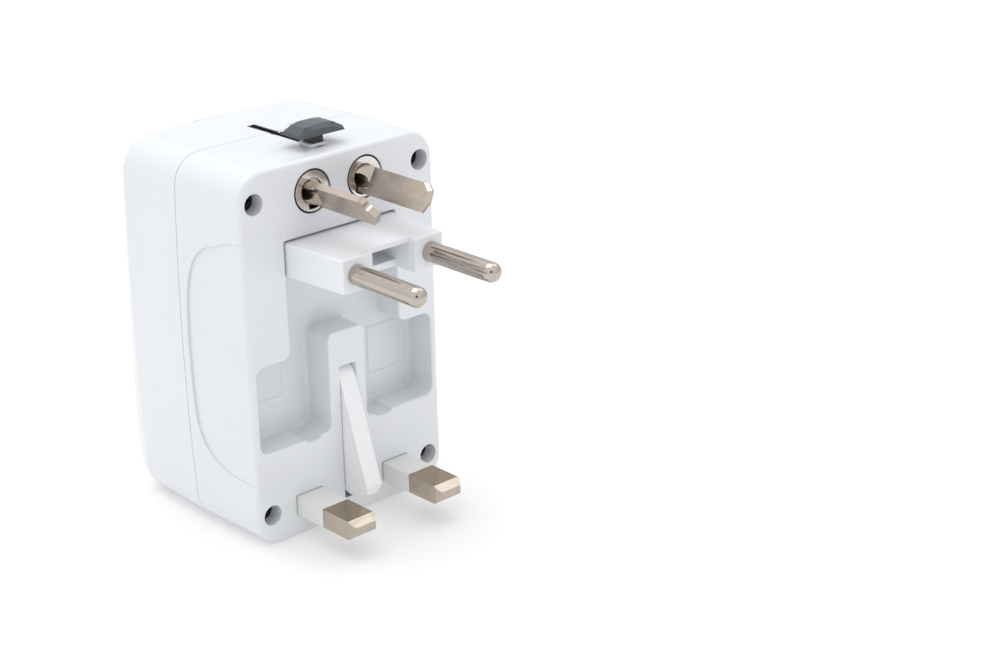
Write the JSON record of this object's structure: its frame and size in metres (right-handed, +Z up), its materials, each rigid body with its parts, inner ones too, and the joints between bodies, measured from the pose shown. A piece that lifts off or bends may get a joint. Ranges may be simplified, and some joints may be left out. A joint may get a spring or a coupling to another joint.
{
  "type": "multi socket adapter",
  "caption": "Travel plug adapter with folding round pins, sliding flat blades that turn, sliding rectangular pins, a folding earth lever, a universal socket with shutter, and charging ports.",
  "frame": {"origin": "middle of the foot of the case, on the face it stands on", "axes": "+X to the right seen from the socket side, +Y out of the plug face, +Z up; socket face towards -Y, charging ports on the -X side"},
  "size_m": [0.0504, 0.0781, 0.0811],
  "materials": {
    "case_white": "smooth gloss",
    "plate_white": "smooth gloss",
    "block_white": "smooth gloss",
    "lever_white": "satin",
    "sleeve_white": "satin, slightly warm",
    "tongue_white": "satin",
    "lens_red": "clear dark red",
    "diode_red": "gloss",
    "port_steel": "plated",
    "contact_gold": "plated",
    "contact_brass": "rolled",
    "nickel": "bright nickel",
    "blade_nickel": "satin nickel",
    "pin_nickel": "satin nickel",
    "round_pin_nickel": "bright nickel",
    "rod_steel": "drawn",
    "screw_steel": "black oxide",
    "spring_steel": "drawn",
    "dark_plastic": "matt",
    "inner_plastic": "matt",
    "stem_black": "satin",
    "knob_grey": "satin",
    "base_white": "smooth gloss",
    "lining_black": "matt",
    "ball_steel": "polished",
    "rotor_black": "matt",
    "shutter_red": "satin",
    "board_green": "solder mask",
    "ferrite": "matt",
    "winding_tape": "tape",
    "capacitor_sleeve": "sleeve",
    "varistor_blue": "dipped",
    "fuse_glass": "glazed"
  },
  "bodies": {
    "case": {"back_shell": "case_white", "front_shell": "case_white", "faceplate": "plate_white", "led_lens": "lens_red", "led": "diode_red", "usb_shells": "port_steel", "usb_tongues": "tongue_white", "usb_contacts": "contact_gold", "ring_left": "nickel", "ring_right": "nickel", "ring_gaskets": "lining_black", "eu_hinge_rod": "rod_steel", "earth_hinge_rod": "rod_steel", "case_screws": "screw_steel", "contact_carrier": "dark_plastic", "contact_line": "contact_brass", "contact_neutral": "contact_brass", "contact_earth": "contact_brass", "power_board": "board_green", "transformer_core": "ferrite", "transformer_winding": "winding_tape", "capacitor": "capacitor_sleeve", "varistor": "varistor_blue", "fuse": "fuse_glass", "fuse_clips": "contact_brass", "chips": "dark_plastic", "line_busbar": "contact_brass", "neutral_busbar": "contact_brass", "shutter_spring": "spring_steel", "slot_lining": "lining_black", "detent_ball": "ball_steel"},
    "slider": {"slider_knob": "knob_grey", "slider_stem": "stem_black", "slider_base": "base_white", "blade_carriage": "inner_plastic"},
    "blade_left": {"blade_left": "blade_nickel", "rotor_left": "rotor_black"},
    "blade_right": {"blade_right": "blade_nickel", "rotor_right": "rotor_black"},
    "uk_pins": {"uk_carriage": "inner_plastic", "uk_pin_left": "pin_nickel", "uk_pin_right": "pin_nickel", "uk_sleeve_left": "sleeve_white", "uk_sleeve_right": "sleeve_white"},
    "eu_block": {"eu_block": "block_white", "eu_pin_left": "round_pin_nickel", "eu_pin_right": "round_pin_nickel"},
    "earth_lever": {"earth_pin": "lever_white"},
    "shutter": {"shutter": "shutter_red"}
  },
  "joints": [
    {"name": "slider_slide", "type": "slide", "parent": "case", "child": "slider", "axis": [0, 1, 0], "range_m": [-0.0193, 0]},
    {"name": "blade_turn_left", "type": "hinge", "parent": "slider", "child": "blade_left", "pos_m": [-0.00645, 0.021, 0.07], "axis": [0, 1, 0], "range_deg": [0, 30]},
    {"name": "blade_turn_right", "type": "hinge", "parent": "slider", "child": "blade_right", "pos_m": [0.00645, 0.021, 0.07], "axis": [0, -1, 0], "range_deg": [0, 30]},
    {"name": "uk_slide", "type": "slide", "parent": "case", "child": "uk_pins", "axis": [0, 1, 0], "range_m": [-0.01745, 0]},
    {"name": "eu_fold", "type": "hinge", "parent": "case", "child": "eu_block", "pos_m": [0, 0.0176, 0.05778], "axis": [-1, 0, 0], "range_deg": [0, 90]},
    {"name": "earth_fold", "type": "hinge", "parent": "case", "child": "earth_lever", "pos_m": [0, 0.0173, 0.02885], "axis": [1, 0, 0], "range_deg": [-17.8, 72.2]},
    {"name": "shutter_slide", "type": "slide", "parent": "case", "child": "shutter", "axis": [0, 0, -1], "range_m": [0, 0.0083], "stiffness_N_per_m": 30, "springref_m": -0.006, "deforming": ["shutter_spring"]}
  ]
}
